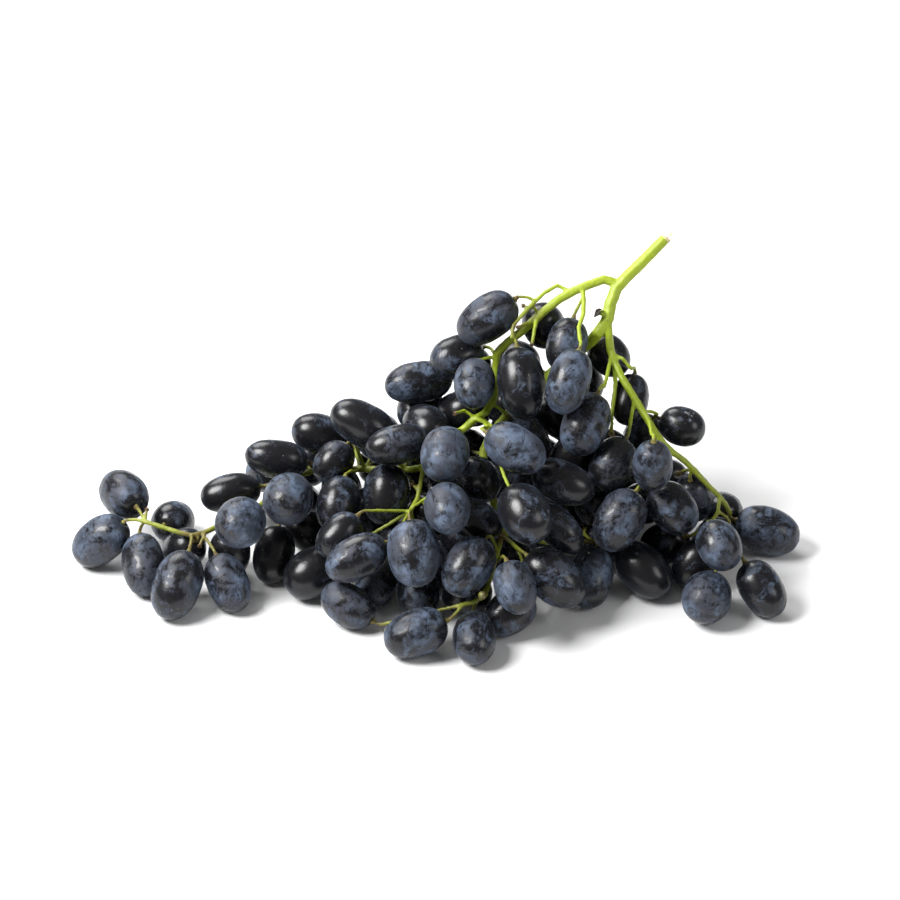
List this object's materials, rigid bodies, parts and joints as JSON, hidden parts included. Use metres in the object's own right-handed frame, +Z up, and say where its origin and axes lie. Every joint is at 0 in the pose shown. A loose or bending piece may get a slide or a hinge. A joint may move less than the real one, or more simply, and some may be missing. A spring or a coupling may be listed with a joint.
{
  "type": "bunch of dark grapes",
  "caption": "Bunch of dark oval table grapes with a green branching stem, lying on its side as it rests on a table.",
  "frame": {"origin": "on the table, under the middle of the bunch's bounding box", "axes": "+X along the length of the bunch towards its right end as its front is seen, +Y to its back, +Z up from the table"},
  "size_m": [0.2634, 0.1324, 0.1067],
  "materials": {
    "skin": "blue-black skin with a mottled blue-grey waxy bloom, rubbed glossy in patches",
    "stem": "fresh yellow-green stalk, satin, browned at the broken ends"
  },
  "bodies": {
    "root": {"berries_inner_1": "skin", "berries_inner_2": "skin", "berries_inner_3": "skin", "berries_inner_4": "skin", "berries_inner_5": "skin", "berries_inner_6": "skin", "berry_front_01": "skin", "berry_front_02": "skin", "berry_front_03": "skin", "berry_front_04": "skin", "berry_front_05": "skin", "berry_front_06": "skin", "berry_front_07": "skin", "berry_front_08": "skin", "berry_front_09": "skin", "berry_front_10": "skin", "berry_front_11": "skin", "berry_front_12": "skin", "berry_front_13": "skin", "berry_front_14": "skin", "berry_front_15": "skin", "berry_front_16": "skin", "berry_front_17": "skin", "berry_front_18": "skin", "berry_left_01": "skin", "berry_left_02": "skin", "berry_left_03": "skin", "berry_left_04": "skin", "berry_left_05": "skin", "berry_left_06": "skin", "berry_left_07": "skin", "berry_left_08": "skin", "berry_left_09": "skin", "berry_left_10": "skin", "berry_right_01": "skin", "berry_right_02": "skin", "berry_right_03": "skin", "berry_right_04": "skin", "berry_right_05": "skin", "berry_right_06": "skin", "berry_right_07": "skin", "berry_right_08": "skin", "berry_right_09": "skin", "berry_right_10": "skin", "berry_right_11": "skin", "berry_right_12": "skin", "berry_tail_01": "skin", "berry_tail_02": "skin", "berry_tail_03": "skin", "berry_tail_04": "skin", "berry_tail_05": "skin", "berry_top_01": "skin", "berry_top_02": "skin", "berry_top_03": "skin", "berry_top_04": "skin", "berry_top_05": "skin", "berry_top_06": "skin", "berry_top_07": "skin", "berry_top_08": "skin", "stem": "stem"}
  },
  "joints": []
}
